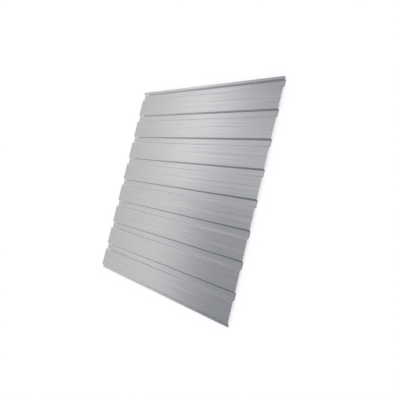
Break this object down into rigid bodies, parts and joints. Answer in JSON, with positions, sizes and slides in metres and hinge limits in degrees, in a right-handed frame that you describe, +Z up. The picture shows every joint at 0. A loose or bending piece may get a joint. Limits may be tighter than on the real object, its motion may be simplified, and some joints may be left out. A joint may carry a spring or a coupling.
{
  "type": "corrugated metal sheet",
  "caption": "Flat trapezoidal profiled steel sheet with wide low ribs, a shallow groove along each crest, narrow valleys and an overlap lip, for cladding walls and roofs.",
  "frame": {"origin": "centre of the sheet's footprint, on the plane of the valleys' lower faces", "axes": "+X along the ribs, +Y across the ribs towards the overlap lip, +Z up through the crests"},
  "size_m": [1.2, 1.18, 0.011],
  "materials": {
    "zinc_coated_steel": "bare hot-dip zinc coating, skin-passed to a satin sheen with fine rolling streaks along the ribs"
  },
  "bodies": {
    "root": {"ribbed_sheet": "zinc_coated_steel"}
  },
  "joints": []
}
